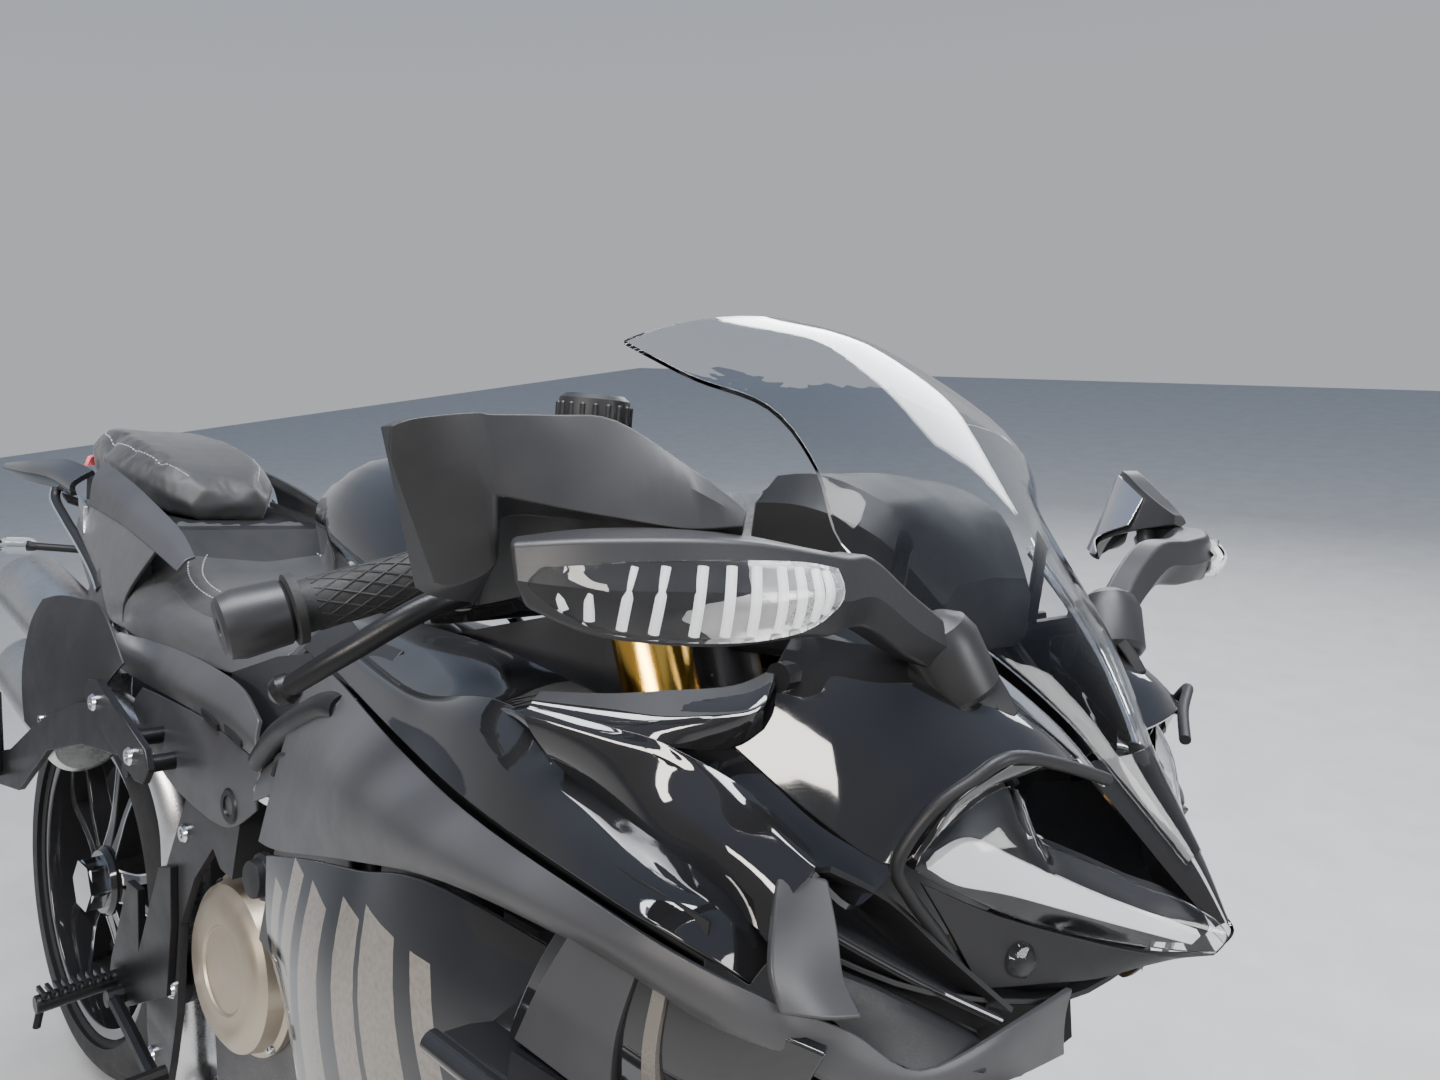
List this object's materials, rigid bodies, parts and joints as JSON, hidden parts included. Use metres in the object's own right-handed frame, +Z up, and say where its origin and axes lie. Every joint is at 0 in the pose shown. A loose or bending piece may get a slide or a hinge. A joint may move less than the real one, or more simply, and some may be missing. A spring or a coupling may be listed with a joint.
{
  "type": "sport bike",
  "caption": "Fully faired sport bike on its side stand, with turning wheels, a steering fork with clip-on bars, and a folding side stand.",
  "frame": {"origin": "middle of the bounding box, on the floor", "axes": "+X the way the bike faces, +Y to its left, +Z up; the bike leans 12 degrees to its left on its stand"},
  "size_m": [2.0114, 0.8024, 1.1251],
  "materials": {
    "gloss_fairing": "deep gloss",
    "satin_fairing": "satin",
    "black_plastic": "fine grain",
    "tank_paint": "deep gloss",
    "frame_paint": "satin",
    "engine_casting": "cast, matt",
    "cover_metal": "champagne anodised",
    "black_metal": "satin",
    "fork_gold": "gold anodised",
    "fork_black": "gloss",
    "silver_metal": "brushed",
    "axle_metal": "machined",
    "disc_steel": "ground",
    "chain_steel": "oiled",
    "grip_rubber": "matt",
    "tyre_rubber": "matt",
    "rim_paint": "gloss",
    "seat_cover": "matt grained",
    "smoked_screen": "clear gloss",
    "lamp_lens": "clear gloss",
    "tail_lens": "clear gloss"
  },
  "bodies": {
    "chassis": {"engine_block": "engine_casting", "engine_covers": "cover_metal", "main_frame": "frame_paint", "subframe": "frame_paint", "radiator": "black_metal", "fuel_tank": "tank_paint", "rider_seat": "seat_cover", "pillion_seat": "seat_cover", "tail_cowl": "gloss_fairing", "tail_light": "tail_lens", "plate_hanger": "black_plastic", "exhaust_header": "silver_metal", "mufflers": "silver_metal", "muffler_guard": "black_plastic", "rider_footrests": "black_metal", "foot_levers": "black_metal", "pillion_footrests": "black_metal", "swingarm": "frame_paint", "rear_shock": "black_metal", "rear_caliper": "black_metal", "chain": "chain_steel", "rear_hugger": "black_plastic", "nose_cowls": "gloss_fairing", "duct_skins": "black_plastic", "headlamp": "lamp_lens", "windscreen": "smoked_screen", "shoulder_panels": "gloss_fairing", "band_panels": "satin_fairing", "side_panels": "gloss_fairing", "winglets": "gloss_fairing", "belly_pan": "gloss_fairing", "dash": "black_plastic", "fairing_stay": "black_metal", "panel_brackets": "black_metal", "mirrors": "black_plastic"},
    "stand": {"side_stand": "black_metal"},
    "steering": {"lower_yoke": "frame_paint", "upper_yoke": "frame_paint", "fork_tubes": "fork_gold", "fork_legs": "fork_black", "front_axle": "axle_metal", "front_calipers": "black_metal", "front_mudguard": "gloss_fairing", "clip_ons": "black_metal", "grips": "grip_rubber", "brake_master": "black_metal", "clutch_perch": "black_metal"},
    "front_wheel": {"front_tyre": "tyre_rubber", "front_rim": "rim_paint", "front_discs": "disc_steel"},
    "rear_wheel": {"rear_tyre": "tyre_rubber", "rear_rim": "rim_paint", "rear_disc": "disc_steel", "rear_axle": "axle_metal", "rear_sprocket": "disc_steel"}
  },
  "joints": [
    {"name": "steering", "type": "hinge", "parent": "chassis", "child": "steering", "pos_m": [0.36653, -0.00769, 0.95049], "axis": [-0.4147, 0.1892, 0.8901], "range_deg": [-25, 25]},
    {"name": "front_wheel_spin", "type": "hinge", "parent": "steering", "child": "front_wheel", "pos_m": [0.70715, -0.14704, 0.29489], "axis": [0, 0.9781, -0.2079], "continuous": true},
    {"name": "rear_wheel_spin", "type": "hinge", "parent": "chassis", "child": "rear_wheel", "pos_m": [-0.69285, -0.14377, 0.31026], "axis": [0, 0.9781, -0.2079], "continuous": true},
    {"name": "stand_fold", "type": "hinge", "parent": "chassis", "child": "stand", "pos_m": [-0.17785, 0.05594, 0.26864], "axis": [0.0779, 0.9881, 0.1325], "range_deg": [0, 93]}
  ]
}
